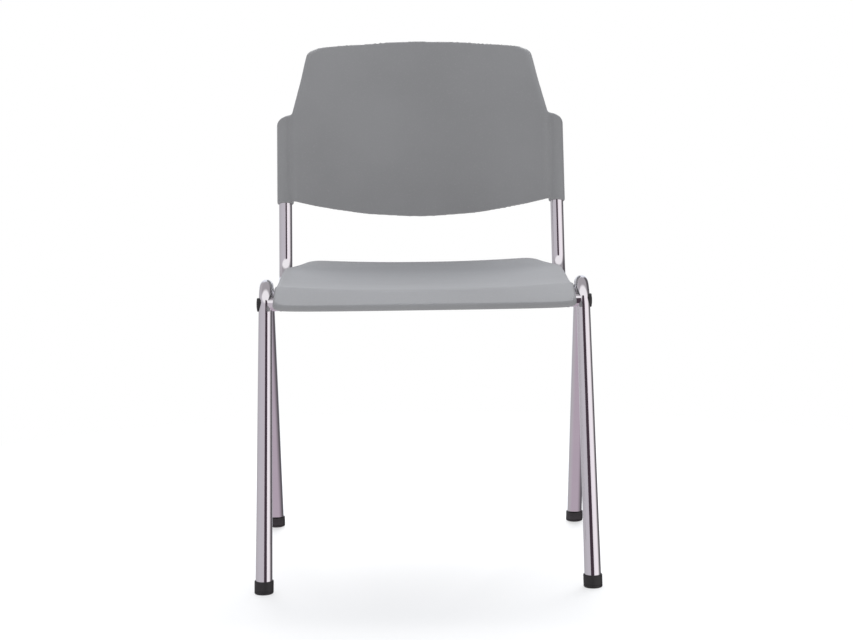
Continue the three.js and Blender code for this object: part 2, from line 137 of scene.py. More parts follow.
def smooth(value, low, high):
    t = clamp((value - low) / (high - low))
    return t * t * (3 - 2 * t)


# ---------- materials ----------
def new_material(name):
    material = bpy.data.materials.new(name)
    material.use_nodes = True
    nodes = material.node_tree.nodes
    return material, nodes, material.node_tree.links, nodes["Principled BSDF"]


def noise(nodes, links, scale, detail=4.0, stretch=None):
    """The value of a noise texture in object space, stretched along an axis where stretch says so."""
    place = nodes.new("ShaderNodeTexCoord")
    texture = nodes.new("ShaderNodeTexNoise")
    texture.inputs["Scale"].default_value = scale
    texture.inputs["Detail"].default_value = detail
    source = place.outputs["Object"]
    if stretch:
        mapping = nodes.new("ShaderNodeMapping")
        mapping.inputs["Scale"].default_value = stretch
        links.new(source, mapping.inputs["Vector"])
        source = mapping.outputs["Vector"]
    links.new(source, texture.inputs["Vector"])
    return texture.outputs["Fac"]


def ranged(nodes, links, value, low, high, to_low, to_high):
    node = nodes.new("ShaderNodeMapRange")
    node.inputs["From Min"].default_value = low
    node.inputs["From Max"].default_value = high
    node.inputs["To Min"].default_value = to_low
    node.inputs["To Max"].default_value = to_high
    links.new(value, node.inputs["Value"])
    return node.outputs["Result"]


def blended(nodes, links, share, a, b):
    """A colour from a to b by share; a and b are colours or sockets."""
    node = nodes.new("ShaderNodeMix")
    node.data_type = "RGBA"
    links.new(share, node.inputs["Factor"])
    for colour, socket in ((a, node.inputs[6]), (b, node.inputs[7])):
        if isinstance(colour, tuple):
            socket.default_value = (*colour, 1)
        else:
            links.new(colour, socket)
    return node.outputs[2]


def bumped(nodes, links, shader, layers):
    """Stacks bump layers of (height socket, distance in metres, strength)."""
    normal = None
    for height, distance, strength in layers:
        bump = nodes.new("ShaderNodeBump")
        bump.inputs["Strength"].default_value = strength
        bump.inputs["Distance"].default_value = distance
        links.new(height, bump.inputs["Height"])
        if normal:
            links.new(normal, bump.inputs["Normal"])
        normal = bump.outputs["Normal"]
    links.new(normal, shader.inputs["Normal"])


def chrome_plate():
    """Polished plate: faint cloudiness, hairline scratches round the tube and slightly duller patches."""
    material, nodes, links, shader = new_material("chrome_plate")
    shader.inputs["Metallic"].default_value = 1.0
    cloud = noise(nodes, links, 14, 3)
    scratches = noise(nodes, links, 900, 2, (1, 1, 0.04))
    tint = blended(nodes, links, cloud, (0.78, 0.765, 0.79), (0.86, 0.845, 0.865))
    links.new(tint, shader.inputs["Base Color"])
    rough = nodes.new("ShaderNodeMath")
    rough.operation = "MAXIMUM"
    links.new(ranged(nodes, links, cloud, 0.3, 0.75, 0.045, 0.10), rough.inputs[0])
    links.new(ranged(nodes, links, scratches, 0.68, 0.80, 0.04, 0.22), rough.inputs[1])
    links.new(rough.outputs[0], shader.inputs["Roughness"])
    bumped(nodes, links, shader, [(noise(nodes, links, 60, 2), 0.0004, 0.03), (scratches, 0.00005, 0.06)])
    return material


def moulded_plastic(name, tones, roughness, grain_scale, grain_depth):
    """Moulded plastic: spark-eroded grain, slow colour drift, fine scuffs, and paler edges that are partly
    wear and partly a painted sheen.
    """
    dark, light = tones
    material, nodes, links, shader = new_material(name)
    shader.inputs["Specular IOR Level"].default_value = 0.32
    drift = noise(nodes, links, 5, 5)
    speckle = noise(nodes, links, 420, 3)
    scuffs = noise(nodes, links, 130, 6, (0.2, 1, 1))
    colour = blended(nodes, links, ranged(nodes, links, drift, 0.3, 0.7, 0, 1), dark, light)
    pale = tuple(min(1.0, c * 1.12 + 0.01) for c in light)
    colour = blended(nodes, links, ranged(nodes, links, speckle, 0.55, 0.8, 0, 0.5), colour, pale)
    # Convex edges are paled by pointiness. This is partly rubbed wear and partly a painted sheen along the
    # edges.
    geometry = nodes.new("ShaderNodeNewGeometry")
    edge = ranged(nodes, links, geometry.outputs["Pointiness"], 0.53, 0.60, 0, 0.45)
    colour = blended(nodes, links, edge, colour, pale)
    links.new(colour, shader.inputs["Base Color"])
    rough = nodes.new("ShaderNodeMath")
    rough.operation = "ADD"
    links.new(ranged(nodes, links, drift, 0.3, 0.7, *roughness), rough.inputs[0])
    links.new(ranged(nodes, links, scuffs, 0.62, 0.75, 0.0, -0.08), rough.inputs[1])
    links.new(rough.outputs[0], shader.inputs["Roughness"])
    grain = noise(nodes, links, grain_scale, 5)
    bumped(nodes, links, shader, [(grain, grain_depth, 0.35), (scuffs, 0.00004, 0.15)])
    return material


def zinc_plate():
    """Zinc-plated steel with a fine directional brush and bluish patches."""
    material, nodes, links, shader = new_material("zinc_plate")
    shader.inputs["Metallic"].default_value = 1.0
    brush = noise(nodes, links, 700, 4, (0.05, 1, 1))
    patches = noise(nodes, links, 60, 4)
    colour = blended(nodes, links, patches, (0.50, 0.51, 0.53), (0.66, 0.66, 0.64))
    links.new(colour, shader.inputs["Base Color"])
    links.new(ranged(nodes, links, brush, 0.3, 0.7, 0.26, 0.42), shader.inputs["Roughness"])
    bumped(nodes, links, shader, [(brush, 0.00006, 0.2)])
    return material


GREY_TONES = ((0.222, 0.223, 0.227), (0.250, 0.251, 0.256))
BLACK_TONES = ((0.016, 0.015, 0.016), (0.024, 0.022, 0.023))
CHROME = chrome_plate()
GREY = moulded_plastic("grey_polypropylene", GREY_TONES, (0.42, 0.54), 1500, 0.00012)
BLACK = moulded_plastic("black_plastic", BLACK_TONES, (0.42, 0.58), 1100, 0.00015)
ZINC = zinc_plate()


# ---------- mesh pieces ----------
def placed(p):
    """A point from these shapes' millimetres to the frame's metres."""
    return Vector((p.x, p.y + Y_SHIFT, p.z)) * MM


def piece(name, verts, faces, material, slot, *nodes):
    """A smooth-shaded mesh in the frame, which stands for the CAD nodes named."""
    mesh = bpy.data.meshes.new(name)
    mesh.from_pydata([placed(v) for v in verts], [], faces)
    mesh.materials.append(material)
    obj = bpy.data.objects.new(name, mesh)
    bpy.context.scene.collection.objects.link(obj)
    tidy_normals(mesh)
    finish_piece(obj, slot, *nodes)
    return obj


def tidy_normals(mesh, angle=40):
    edit = bmesh.new()
    edit.from_mesh(mesh)
    bmesh.ops.remove_doubles(edit, verts=edit.verts, dist=1e-6)
    bmesh.ops.recalc_face_normals(edit, faces=edit.faces)
    for face in edit.faces:
        face.smooth = True
    for edge in edit.edges:
        edge.smooth = not edge.is_manifold or edge.calc_face_angle(0) < math.radians(angle)
    edit.to_mesh(mesh)
    edit.free()


def finish_piece(obj, slot, *nodes):
    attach(obj, "root")
    if nodes:
        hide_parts(*nodes)


def lofted(rings, looped=False):
    """Vertices and faces of equal rings joined in order, capped at both ends unless looped."""
    count = len(rings[0])
    verts = [v for ring in rings for v in ring]
    faces = []
    for r in range(len(rings) if looped else len(rings) - 1):
        low, high = r * count, ((r + 1) % len(rings)) * count
        for i in range(count):
            j = (i + 1) % count
            faces.append((low + i, low + j, high + j, high + i))
    if not looped:
        faces.append(tuple(reversed(range(count))))
        faces.append(tuple(range((len(rings) - 1) * count, len(rings) * count)))
    return verts, faces


def bent_path(corners, radius, steps=28, stretch=10):
    """Places of (point, direction) along straight runs and round bends."""
    stations = [(corners[0], (corners[1] - corners[0]).normalized())]
    for before, corner, after in zip(corners, corners[1:], corners[2:]):
        into, out = (corner - before).normalized(), (after - corner).normalized()
        turn = into.angle(out)
        start = corner - into * radius * math.tan(turn / 2)
        inward = (out - into * out.dot(into)).normalized()
        for k in range(steps + 1):
            a = turn * k / steps
            at = start + inward * radius * (1 - math.cos(a)) + into * radius * math.sin(a)
            stations.append((at, into * math.cos(a) + inward * math.sin(a)))
    stations.append((corners[-1], (corners[-1] - corners[-2]).normalized()))
    path = []
    for (a, heading), (b, after) in zip(stations, stations[1:]):
        runs = stretch if (b - a).length > 60 else 1
        path += [(a.lerp(b, k / runs), heading.lerp(after, k / runs).normalized()) for k in range(runs)]
    return path + [stations[-1]]


def circles(path, radius_at, sides=ROUND_SIDES):
    side = Vector((0, 1, 0)) if abs(path[0][1].x) > 0.9 else Vector((1, 0, 0))
    rings = []
    for at, along in path:
        side = (side - along * side.dot(along)).normalized()
        other = along.cross(side)
        r = radius_at(at)
        turns = [2 * math.pi * i / sides for i in range(sides)]
        rings.append([at + side * r * math.cos(a) + other * r * math.sin(a) for a in turns])
    return rings


def tube(path, radius_at):
    outer = circles(path, radius_at)
    inner = circles(path, lambda at: radius_at(at) - WALL)
    return lofted(outer + inner[::-1], looped=True)


def mirrored(p, sign):
    return Vector((sign * p.x, p.y, p.z))


# ---------- leg frames ----------
def leg_end(foot):
    up = (LEG_CORNER - foot).normalized()
    rise = LEG_END_LIFT + LEG_FOOT_R * math.sqrt(1 - up.z * up.z)
    return foot + up * (rise / up.z), up


def leg_path(sign):
    corners = [leg_end(LEG_FRONT_FOOT)[0], LEG_CORNER, leg_end(LEG_REAR_FOOT)[0]]
    return bent_path([mirrored(c, sign) for c in corners], LEG_BEND)


def leg_radius(at):
    return mix(LEG_FOOT_R, LEG_TOP_R, clamp(at.z / LEG_TAPER_TOP_Z))


def leg_at(z, rear):
    points = [at for at, _ in leg_path(1)]
    points = points[::-1] if rear else points
    i = next(k for k, p in enumerate(points) if p.z > z)
    return points[i - 1].lerp(points[i], (z - points[i - 1].z) / (points[i].z - points[i - 1].z))


def foot(foot_point, sign):
    """A cup round the leg's end, level at the floor and collar, with rounded edges and a moulding line."""
    up = mirrored((LEG_CORNER - foot_point).normalized(), sign)
    start = mirrored(foot_point, sign)
    lean = Vector((up.x, up.y, 0))
    long_way = lean.normalized()
    cross_way = Vector((-long_way.y, long_way.x, 0))

    def level(z, r):
        centre = start + up * (z / up.z)
        turns = [2 * math.pi * i / ROUND_SIDES for i in range(ROUND_SIDES)]
        return [centre + long_way * (r / up.z * math.cos(a)) + cross_way * (r * math.sin(a)) for a in turns]

    base = [(0, 0.05), (0, FOOT_R - FOOT_ROUND)]
    corner = [math.pi / 2 * k / 6 for k in range(1, 7)]
    base += [(FOOT_ROUND * (1 - math.cos(a)), FOOT_R - FOOT_ROUND * (1 - math.sin(a))) for a in corner]
    groove = [(4.2, FOOT_R), (4.5, FOOT_R - 0.5), (5.0, FOOT_R - 0.5), (5.3, FOOT_R)]
    top = FOOT_COLLAR
    lip = [(top - 1.4, FOOT_R), (top - 0.6, FOOT_R - 0.2), (top - 0.15, FOOT_R - 0.6), (top, FOOT_R - 1.1)]
    bore = [(top, LEG_FOOT_R + 0.05), (top - 4, LEG_FOOT_R + 0.05), (top - 4, 0.05)]
    return lofted([level(z, r) for z, r in base + groove + lip + bore])


def plug(at, sign):
    """An oval cap saddled on the tube, with a moulded ring on its face."""
    radius = leg_radius(at)
    # Share of the way out from the middle to the rim, and share of the rise from the tube to the crown.
    profile = [(0.05, -1), (1, -1), (1, 0.35), (0.985, 0.7), (0.94, 0.9), (0.87, 0.96)]
    profile += [(0.82, 0.90), (0.76, 0.93), (0.5, 0.98), (0.25, 1), (0.01, 1)]
    turns = [2 * math.pi * i / ROUND_SIDES for i in range(ROUND_SIDES)]
    rings = []
    for share, rise in profile:
        ring = []
        for a in turns:
            y, z = share * PLUG_HALF_Y * math.cos(a), share * PLUG_R * math.sin(a)
            skin = math.sqrt(radius**2 - y * y)
            crown = mix(skin, radius, 0.55) + PLUG_PROUD - PLUG_CROWN * share * share
            out = mix(skin, crown, rise) if rise > 0 else skin + PLUG_SUNK * rise
            ring.append(Vector((sign * (at.x + out), at.y + y, at.z + z)))
        rings.append(ring)
    return lofted(rings)


for side, sign in SIDES.items():
    node = f"leg_frame_{side}"
    piece(f"bent_{node}", *tube(leg_path(sign), leg_radius), CHROME, "chrome_tube", node)
    for end, place in (("front", LEG_FRONT_FOOT), ("rear", LEG_REAR_FOOT)):
        node = f"foot_{end}_{side}"
        piece(f"moulded_{node}", *foot(place, sign), BLACK, "black_plastic", node)
        node = f"leg_plug_{end}_{side}"
        piece(f"domed_{node}", *plug(leg_at(RAIL_Z, end == "rear"), sign), BLACK, "black_plastic", node)


# ---------- back tubes and cross tubes ----------
def in_back(x, n, s):
    """x across, n towards the sitter, s along the upright."""
    sin, cos = math.sin(BACK_LEAN), math.cos(BACK_LEAN)
    return Vector((x, BACK_BASE_Y + s * sin - n * cos, BACK_BASE_Z + s * cos + n * sin))


CROSS_Y = leg_at(RAIL_Z, False).y
RAIL_CORNER_Y = BACK_BASE_Y - (BACK_BASE_Z - RAIL_Z) * math.tan(BACK_LEAN)


def rail_x(y):
    return mix(RAIL_FRONT_X, BACK_X, (y - CROSS_Y - 4) / (RAIL_CORNER_Y - CROSS_Y - 4))


def back_tube_path(sign):
    start = Vector((sign * RAIL_FRONT_X, CROSS_Y + 4, RAIL_Z))
    corner = Vector((sign * BACK_X, RAIL_CORNER_Y, RAIL_Z))
    return bent_path([start, corner, in_back(sign * BACK_X, 0, UPRIGHT_TOP)], BACK_BEND)


def cross_path(half, y, z):
    return [(Vector((half * (k / 12 * 2 - 1), y, z)), Vector((1, 0, 0))) for k in range(13)]


def weld_bead(x, y, z, sign, radius):
    """A rippled bead where a cross tube meets a rail that runs front to rear."""
    rings = []
    along = Vector((sign, 0, 0))
    for i in range(72):
        a = 2 * math.pi * i / 72
        rib = BEAD_R + BEAD_RIPPLE * math.sin(18 * a)
        up = radius * math.sin(a) + z - RAIL_Z
        reach = math.sqrt(max(1.0, BACK_TUBE_R**2 - up * up))
        centre = Vector((x - sign * reach, y + radius * math.cos(a), z + radius * math.sin(a)))
        out = Vector((-sign * 0.6, 0.8 * math.cos(a), 0.8 * math.sin(a)))
        turns = [2 * math.pi * k / 10 for k in range(10)]
        rings.append([centre + out * rib * math.cos(t) + along * rib * math.sin(t) for t in turns])
    return lofted(rings, looped=True)


for side, sign in SIDES.items():
    node = f"back_tube_{side}"
    piece(f"bent_{node}", *tube(back_tube_path(sign), lambda at: BACK_TUBE_R), CHROME, "chrome_tube", node)
    rear_x = rail_x(REAR_CROSS_Y)
    bead = weld_bead(sign * rear_x, REAR_CROSS_Y, REAR_CROSS_Z, sign, CROSS_R)
    piece(f"weld_bead_rear_{side}", *bead, CHROME, "chrome_tube")

front_reach = leg_at(RAIL_Z, False).x - 4
piece("round_front_cross_tube", *tube(cross_path(front_reach, CROSS_Y, RAIL_Z), lambda at: CROSS_R),
      CHROME, "chrome_tube", "front_cross_tube")
rear_reach = rail_x(REAR_CROSS_Y) - 4
piece("round_rear_cross_tube", *tube(cross_path(rear_reach, REAR_CROSS_Y, REAR_CROSS_Z), lambda at: CROSS_R),
      CHROME, "chrome_tube", "rear_cross_tube")


# ---------- seat shell ----------
# y and height of the seat's centre line, front to rear.
SEAT_PROFILE = [(-5, 454), (60, 456.5), (120, 453), (200, 449.5)]
SEAT_PROFILE += [(280, 449.5), (340, 453), (380, 460.5), (410, 469)]


def catmull(points, count):
    """Points along a uniform Catmull-Rom curve through the ones given."""
    out = []
    last = len(points) - 1
    for k in range(count + 1):
        t = last * k / count
        i = min(int(t), last - 1)
        w = t - i
        a, b, c, d = (points[clamp(j, 0, last)] for j in (i - 1, i, i + 1, i + 2))
        out.append(tuple(
            0.5 * (2 * q + (r - p) * w + (2 * p - 5 * q + 4 * r - s) * w * w + (3 * q - p - 3 * r + s) * w**3)
            for p, q, r, s in zip(a, b, c, d)
        ))
    return out


SEAT_CURVE = catmull(SEAT_PROFILE, 200)


def front_slope(x, y):
    """Share of the fall to the front, from 0 behind a softened crease that bows back at the sides to 1."""
    crease = CREASE_Y + CREASE_BOW * (x / SEAT_HALF) ** 2
    past = clamp((crease - y) / (crease - SEAT_FRONT))
    soft = CREASE_SOFTNESS
    fallen = past * past / (2 * soft) if past < soft else past - soft / 2
    return fallen / (1 - soft / 2)


def seat_height(x, y):
    i = next((k for k, p in enumerate(SEAT_CURVE) if p[0] > y), len(SEAT_CURVE) - 1)
    a, b = SEAT_CURVE[max(0, i - 1)], SEAT_CURVE[max(1, i)]
    share = clamp((y - a[0]) / (b[0] - a[0]))
    rise = SIDE_RISE + HIP_RISE * math.sin(math.pi * clamp((y - 100) / 340)) ** 2
    side = (abs(x) / SEAT_HALF) ** 2.2
    front = SEAT_PROFILE[0][1] + SIDE_RISE * side - FRONT_RIM_Z - FRONT_LIP
    return mix(a[1], b[1], share) + rise * side - front * front_slope(x, y)


def bezier(a, b, c, d, steps):
    out = []
    for k in range(1, steps + 1):
        t = k / steps
        u = 1 - t
        weights = (u**3, 3 * u * u * t, 3 * u * t * t, t**3)
        out.append(tuple(sum(w * p for w, p in zip(weights, places)) for places in zip(a, b, c, d)))
    return out


def seat_outline(inset, count=150):
    """The seat in plan by equal steps: nearly square front corners, straight sides, rear corners cut off."""
    half, front, rear = SEAT_HALF - inset, SEAT_FRONT + inset, SEAT_REAR - inset
    corner = SEAT_REAR_HALF - inset / 2
    shape = [(0, front)]
    edge_end = (half * 0.92, front + 3.5)
    shape += bezier(shape[-1], (half * 0.5, front), (half * 0.82, front + 0.5), edge_end, 40)
    shape += bezier(edge_end, (half * 0.98, front + 6), (half, front + 12), (half, front + 28), 40)
    shape += [(half, mix(front + 28, SEAT_SIDE_END, k / 40)) for k in range(1, 41)]
    turned_in = (half - 12, SEAT_SIDE_END + 28)
    shape += bezier(shape[-1], (half, SEAT_SIDE_END + 12), (half - 5, SEAT_SIDE_END + 19), turned_in, 20)
    start = shape[-1]
    shape += [tuple(mix(p, q, k / 10) for p, q in zip(start, (corner + 8, rear - 11))) for k in range(1, 11)]
    shape += bezier(shape[-1], (corner + 1, rear - 3), (corner - 8, rear), (corner - 20, rear), 20)
    shape += [(mix(corner - 20, 0, k / 20), rear) for k in range(1, 21)]
    lengths = [0.0]
    for a, b in zip(shape, shape[1:]):
        lengths.append(lengths[-1] + math.dist(a, b))
    points, i = [], 0
    for k in range(count + 1):
        want = lengths[-1] * k / count
        while i < len(lengths) - 2 and lengths[i + 1] < want:
            i += 1
        share = (want - lengths[i]) / (lengths[i + 1] - lengths[i])
        points.append(tuple(mix(p, q, share) for p, q in zip(shape[i], shape[i + 1])))
    return points + [(-x, y) for x, y in points[-2:0:-1]]


def seat_skin(outline, under, share, lip=0.0):
    """One ring: share is 1 where the lip begins, and lip is 1 at the turned-down edge."""
    ring = []
    turned_down = 1 - math.sqrt(max(0.0, 1 - lip * lip))
    for rim_x, rim_y in outline:
        out = Vector((rim_x, rim_y - SEAT_MIDDLE_Y))
        at = out * ((share * (out.length - LIP_RUN) + lip * LIP_RUN) / out.length)
        x, y = at.x, at.y + SEAT_MIDDLE_Y
        fall = mix(FRONT_LIP, SIDE_LIP, smooth(rim_y, 20, 60))
        z = seat_height(x, max(y, SEAT_FRONT)) - fall * turned_down
        if under:
            z -= SEAT_T * (1 - 1.35 * turned_down)
        ring.append(Vector((x, y, z)))
    return ring


def edge_rings(top, under):
    """Rings that round the rim's edge over between the top skin and the underside."""
    rings = []
    for a in (0.2, 0.4, 0.6, 0.8):
        ring = []
        for p, q in zip(top, under):
            out = Vector((p.x, p.y - SEAT_MIDDLE_Y, 0)).normalized()
            ring.append(p.lerp(q, a) + (out * 0.2 - Vector((0, 0, 0.9))) * math.sin(math.pi * a))
        rings.append(ring)
    return rings


def seat_mesh():
    dense = 0.68  # the rings are closer together from this share outwards, where the crease is
    places = [(dense * k / 16, 0) for k in range(1, 17)]
    places += [(dense + (1 - dense) * k / 26, 0) for k in range(1, 27)]
    places += [(1, math.sin(math.pi / 2 * k / 9)) for k in range(1, 10)]
    outer, inner = seat_outline(0.3), seat_outline(SEAT_T * 0.8)
    top = [seat_skin(outer, False, *place) for place in places]
    under = [seat_skin(inner, True, *place) for place in places]
    return lofted(top + edge_rings(top[-1], under[-1]) + under[::-1])


def turned(axis_point, profile, sides=32):
    """A shape turned round a vertical axis, from (height, radius) pairs."""
    turns = [2 * math.pi * i / sides for i in range(sides)]
    rings = [[axis_point + Vector((r * math.cos(a), r * math.sin(a), z)) for a in turns] for z, r in profile]
    return lofted(rings)


def boss(end, sign):
    tube_y, tube_z = (CROSS_Y, RAIL_Z) if end == "front" else (REAR_CROSS_Y, REAR_CROSS_Z)
    y = tube_y + BOSSES_Y[end]
    foot_z = tube_z + CROSS_R + 3.2
    skin = seat_height(SCREW_X, y) - SEAT_T + 1
    profile = [(foot_z, 2.2), (foot_z, 7.4), (foot_z + 0.5, 8.0), (mix(foot_z, skin, 0.5), 8.3), (skin, 10.5)]
    return turned(Vector((sign * SCREW_X, y, 0)), profile)


piece("moulded_seat_shell", *seat_mesh(), GREY, "grey_shell", "seat_shell")
for side, sign in SIDES.items():
    for end in BOSSES_Y:
        piece(f"seat_boss_{end}_{side}", *boss(end, sign), GREY, "grey_shell")


# ---------- backrest shell ----------
def panel_foot(x):
    return PANEL_FOOT_S + PANEL_FOOT_RISE * (x / 215) ** 2


def panel_top(x):
    return PANEL_TOP_S - PANEL_TOP_DROP * (x / 185) ** 2


def panel_half(s, top):
    """Half the width at a height: a taper above the sleeves, nearly straight beside them, a round corner."""
    over = s - PANEL_TAPER_S
    straight = PANEL_HALF - over * PANEL_TAPER if over > 0 else PANEL_HALF + min(-over, 30) * 0.02
    above = clamp((s - (top - PANEL_CORNER_R)) / PANEL_CORNER_R)
    return straight - PANEL_CORNER_R * (1 - math.sqrt(1 - above * above))


def panel_face(u, v):
    x = u * 210
    for _ in range(6):
        s = mix(panel_foot(x), panel_top(x), v)
        half = panel_half(s, panel_top(186))
        x = u * half
    edge = max(0.0, abs(x) - (half - PANEL_ROLL))
    roll = PANEL_ROLL - math.sqrt(max(0.0, PANEL_ROLL**2 - edge**2))
    hollow = PANEL_EDGE_N - PANEL_HOLLOW * (1 - (x / 212) ** 2)
    lumbar = LUMBAR * math.sin(math.pi * v) - PANEL_TILT * v * v
    return in_back(x, hollow + lumbar - roll, s)


def panel_back(u, v):
    d = 1e-3
    across = panel_face(min(1, u + d), v) - panel_face(max(-1, u - d), v)
    up = panel_face(u, min(1, v + d)) - panel_face(u, max(0, v - d))
    return panel_face(u, v) + up.cross(across).normalized() * PANEL_T


def panel_mesh():
    half = [0.9 * k / 36 for k in range(36)] + [0.9 + 0.097 * k / 18 for k in range(19)]
    us = [-u for u in half[:0:-1]] + half
    rows = [0, 0.004] + [k / 90 for k in range(1, 90)] + [0.996, 1]
    return lofted([[panel_face(u, v) for u in us] + [panel_back(u, v) for u in us[::-1]] for v in rows])


def sleeve_mesh(sign):
    """A round sleeve whose end slopes down to the outside, and curves over at its outer corner."""
    heights = [SLEEVE_FOOT_S, SLEEVE_FOOT_S + 0.8]
    heights += [mix(SLEEVE_FOOT_S + 2, SLEEVE_TOP_S - 6, k / 20) for k in range(21)]
    turns = [2 * math.pi * i / 72 for i in range(72)]

    def lid(x_out):
        share = x_out / SLEEVE_R
        return SLEEVE_TOP_S + 5 - 6.5 * share - 3.5 * clamp((share - 0.45) / 0.55) ** 2

    rings = []
    for s in heights:
        r = SLEEVE_R - (0.5 if s == SLEEVE_FOOT_S else 0)
        rings.append([in_back(sign * (BACK_X + r * math.cos(a)), r * math.sin(a), s) for a in turns])
    for r, dip in ((14.0, 2.4), (13.8, 1.3), (13.2, 0.5), (12.0, 0.1), (9.0, 0), (5.0, 0), (0.1, 0)):
        ring = []
        for a in turns:
            x_out = r * math.cos(a)
            ring.append(in_back(sign * (BACK_X + x_out), r * math.sin(a), lid(x_out) - dip))
        rings.append(ring)
    return lofted(rings)


def bore_mesh(sign):
    x = sign * BACK_X
    along = (in_back(x, 0, 1) - in_back(x, 0, 0)).normalized()
    path = [(in_back(x, 0, 60 + 10 * k), along) for k in range(18)]
    return lofted(circles(path, lambda at: BACK_TUBE_R + 0.35))


def raw_mesh(name, verts, faces):
    mesh = bpy.data.meshes.new(name)
    mesh.from_pydata([placed(v) for v in verts], [], faces)
    obj = bpy.data.objects.new(name, mesh)
    bpy.context.scene.collection.objects.link(obj)
    tidy_normals(mesh)
    return obj


def applied(obj):
    """Bakes an object's modifiers into its mesh."""
    graph = bpy.context.evaluated_depsgraph_get()
    made = bpy.data.meshes.new_from_object(obj.evaluated_get(graph))
    obj.modifiers.clear()
    obj.data = made


def joined_by(obj, tool, operation):
    cut = obj.modifiers.new("join", "BOOLEAN")
    cut.operation, cut.object, cut.solver = operation, tool, "EXACT"
    applied(obj)
    bpy.data.objects.remove(tool)


def keep_sleeve_walls(obj):
    """Moves any skin that has sunk into a sleeve's wall back out to it."""
    sin, cos = math.sin(BACK_LEAN), math.cos(BACK_LEAN)
    least = SLEEVE_R - 0.5
    for vertex in obj.data.vertices:
        p = vertex.co / MM
        back, up = p.y - Y_SHIFT - BACK_BASE_Y, p.z - BACK_BASE_Z
        s, n = back * sin + up * cos, up * sin - back * cos
        axis_x = math.copysign(BACK_X, p.x)
        off = math.hypot(p.x - axis_x, n)
        if SLEEVE_FOOT_S + 1 < s < SLEEVE_TOP_S - 8 and off < least:
            grown = least / max(off, 1.0)
            vertex.co = placed(in_back(axis_x + (p.x - axis_x) * grown, n * grown, s))


def soften_valleys(obj):
    """Smooths the hollows between panel and sleeves further, away from the shell's ends."""
    group = obj.vertex_groups.new(name="valley")
    lift = in_back(0, 0, SLEEVE_FOOT_S)
    for vertex in obj.data.vertices:
        across = abs(vertex.co.x) / MM
        share = smooth(across, 194, 206) * (1 - smooth(across, 219, 229))
        share *= smooth(vertex.co.z / MM - lift.z, 5, 18)
        if share > 0:
            group.add([vertex.index], share, "REPLACE")
    blend = obj.modifiers.new("valleys", "SMOOTH")
    blend.factor, blend.iterations, blend.vertex_group = 0.5, 80, "valley"
    applied(obj)
    keep_sleeve_walls(obj)


def backrest():
    """Panel and sleeves grown into one skin that meets in soft hollows, as a moulding does, then bored."""
    obj = raw_mesh("moulded_backrest_shell", *panel_mesh())
    for side, sign in SIDES.items():
        joined_by(obj, raw_mesh(f"sleeve_blank_{side}", *sleeve_mesh(sign)), "UNION")
    skin = obj.modifiers.new("skin", "REMESH")
    skin.mode = "VOXEL"
    skin.voxel_size = 1.3 * MM
    soften = obj.modifiers.new("soften", "SMOOTH")
    soften.factor, soften.iterations = 0.5, 14
    applied(obj)
    soften_valleys(obj)
    for side, sign in SIDES.items():
        joined_by(obj, raw_mesh(f"bore_blank_{side}", *bore_mesh(sign)), "DIFFERENCE")
    tidy_normals(obj.data, 50)
    obj.data.materials.clear()
    obj.data.materials.append(GREY)
    finish_piece(obj, "grey_shell", "backrest_shell")


backrest()


# ---------- carried-over CAD pieces ----------
def refine(node, width):
    """Rounds a CAD piece's edges and gives it its plated or moulded finish."""
    obj = frame["nodes"][node]
    slot = next(s["material_slot"] for s in frame["record"]["subparts"] if s["node"] == node)
    obj.data.materials.clear()
    obj.data.materials.append(BLACK if slot == "black_plastic" else ZINC)
    bevel = obj.modifiers.new("edges", "BEVEL")
    bevel.width, bevel.segments, bevel.limit_method = width * MM, 2, "ANGLE"
    bevel.angle_limit = math.radians(40)


for side in SIDES:
    for end in ("front", "rear"):
        refine(f"seat_bracket_{end}_{side}", 0.5)
        refine(f"seat_screw_{end}_{side}", 0.2)
        refine(f"leg_bolt_{end}_{side}", 0.3)
    refine(f"back_screw_{side}", 0.2)
    refine(f"cross_nut_{side}", 0.3)
    refine(f"rail_bush_{side}", 0.3)
    refine(f"top_plug_{side}", 0.3)


# ---------- stage, light and camera, in metres ----------
FLOOR_REACH = 30
FLAG_X, FLAG_Y, FLAG_Z = (-0.22, 0.56), -1.2, (-0.6, 1.5)
CAMERA_AT = Vector((-0.0254, -3.455, 0.8001))
CAMERA_YAW, CAMERA_PITCH, CAMERA_ROLL = (math.radians(a) for a in (2.651, -6.914, 0.549))
CAMERA_LENS = 90.05
CAMERA_SHIFT = -80 / 853

# What shiny pieces reflect of the studio's walls, by degrees round from straight in front.
WALLS = [
    (-180, (0.90, 0.93, 1.00)),
    (-166, (0.86, 0.88, 0.95)),
    (-156, (0.45, 0.43, 0.45)),
    (-125, (0.52, 0.50, 0.53)),
    (-60, (0.59, 0.565, 0.61)),
    (10, (0.60, 0.55, 0.60)),
    (22, (0.92, 0.86, 0.91)),
    (40, (1.02, 0.96, 1.01)),
    (80, (1.02, 0.97, 1.00)),
    (98, (0.32, 0.30, 0.31)),
    (114, (0.12, 0.11, 0.12)),
    (158, (0.12, 0.11, 0.12)),
    (166, (0.86, 0.88, 0.95)),
    (180, (0.90, 0.93, 1.00)),
]


def sheet(name, corners, material):
    """A flat four-cornered stage piece, in metres."""
    mesh = bpy.data.meshes.new(name)
    mesh.from_pydata(corners, [], [(0, 1, 2, 3)])
    mesh.materials.append(material)
    obj = bpy.data.objects.new(name, mesh)
    bpy.context.scene.collection.objects.link(obj)
    return obj


